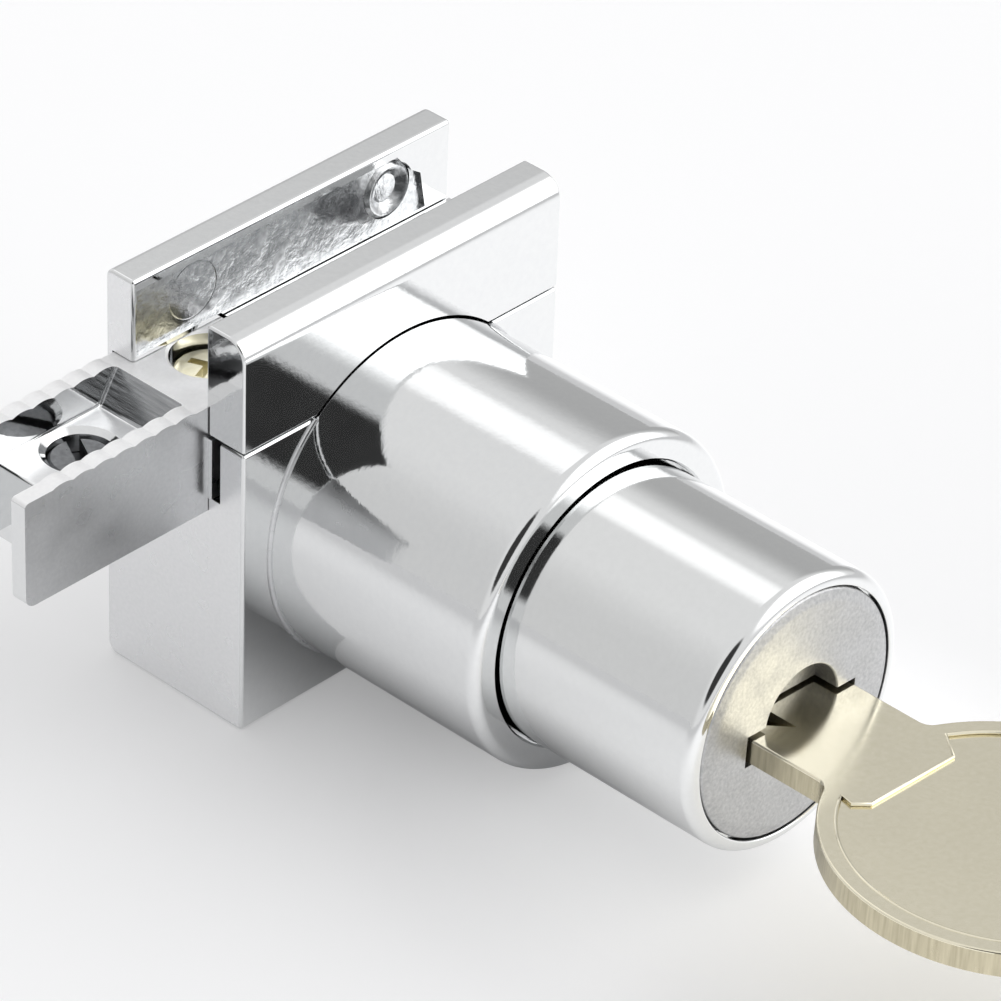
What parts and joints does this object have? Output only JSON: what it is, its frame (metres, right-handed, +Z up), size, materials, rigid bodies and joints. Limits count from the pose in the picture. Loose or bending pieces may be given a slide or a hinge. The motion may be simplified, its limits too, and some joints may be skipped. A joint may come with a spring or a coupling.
{
  "type": "glass cabinet door lock",
  "caption": "Clamp-on lock for a glass cabinet door, with a keyed push plunger in a round collar and a scalloped fork arm at the side.",
  "frame": {"origin": "centre of the glass slot's floor", "axes": "X along the glass edge, -Y from the glass to the key, +Z up out of the slot"},
  "size_m": [0.052, 0.0899, 0.035],
  "materials": {
    "housing": "bright chrome plate on zinc casting",
    "front_clamp": "bright chrome plate on zinc casting",
    "strike_arm": "satin chrome plate on zinc casting",
    "arm_screw": "yellow zinc plate",
    "steel_screw": "plain steel",
    "plunger_sleeve": "bright chrome plate",
    "cast_zinc": "bare zinc casting",
    "locking_pin": "turned steel",
    "spring_steel": "spring steel",
    "plug": "grainy bare zinc casting",
    "wafer_brass": "stamped brass",
    "key": "pale nickel brass, stamped"
  },
  "bodies": {
    "housing_body": {"housing": "housing", "front_clamp": "front_clamp", "foot_screw": "steel_screw", "strike_arm": "strike_arm", "arm_screw": "arm_screw", "guide_screw": "steel_screw"},
    "plunger_body": {"plunger_sleeve": "plunger_sleeve", "plunger_end_cap": "cast_zinc", "locking_pin": "locking_pin", "return_spring": "spring_steel"},
    "plug_body": {"plug": "plug", "plug_clip": "spring_steel", "wafer_1": "wafer_brass", "wafer_2": "wafer_brass", "wafer_3": "wafer_brass", "wafer_4": "wafer_brass", "wafer_5": "wafer_brass", "wafer_spring": "spring_steel"},
    "latch_body": {"latch": "cast_zinc"},
    "key_body": {"key": "key"},
    "glass_screw_left_body": {"glass_screw_left": "steel_screw"},
    "glass_screw_right_body": {"glass_screw_right": "steel_screw"},
    "jack_screw_body": {"arm_jack_screw": "steel_screw"}
  },
  "joints": [
    {"name": "plunger_push", "type": "slide", "parent": "housing_body", "child": "plunger_body", "axis": [0, 1, 0], "range_m": [0, 0.008], "stiffness_N_per_m": 400, "springref_m": -0.004, "deforming": ["return_spring"]},
    {"name": "plug_turn", "type": "hinge", "parent": "plunger_body", "child": "plug_body", "pos_m": [0, -0.0375, -0.0133], "axis": [0, 1, 0], "range_deg": [0, 90]},
    {"name": "latch_slide", "type": "slide", "parent": "plunger_body", "child": "latch_body", "axis": [1, 0, 0], "range_m": [0, 0.0014]},
    {"name": "key_draw", "type": "slide", "parent": "plug_body", "child": "key_body", "axis": [0, -1, 0], "range_m": [0, 0.0194]},
    {"name": "glass_screw_left_feed", "type": "slide", "parent": "housing_body", "child": "glass_screw_left_body", "axis": [0, -1, 0], "range_m": [0, 0.0018]},
    {"name": "glass_screw_right_feed", "type": "slide", "parent": "housing_body", "child": "glass_screw_right_body", "axis": [0, -1, 0], "range_m": [0, 0.0018]},
    {"name": "jack_screw_feed", "type": "slide", "parent": "housing_body", "child": "jack_screw_body", "axis": [0, 0, -1], "range_m": [0, 0.003]}
  ],
  "couplings": [
    {"joint": "latch_slide", "follows": "plug_turn", "m_per_rad": 0.00089126}
  ]
}
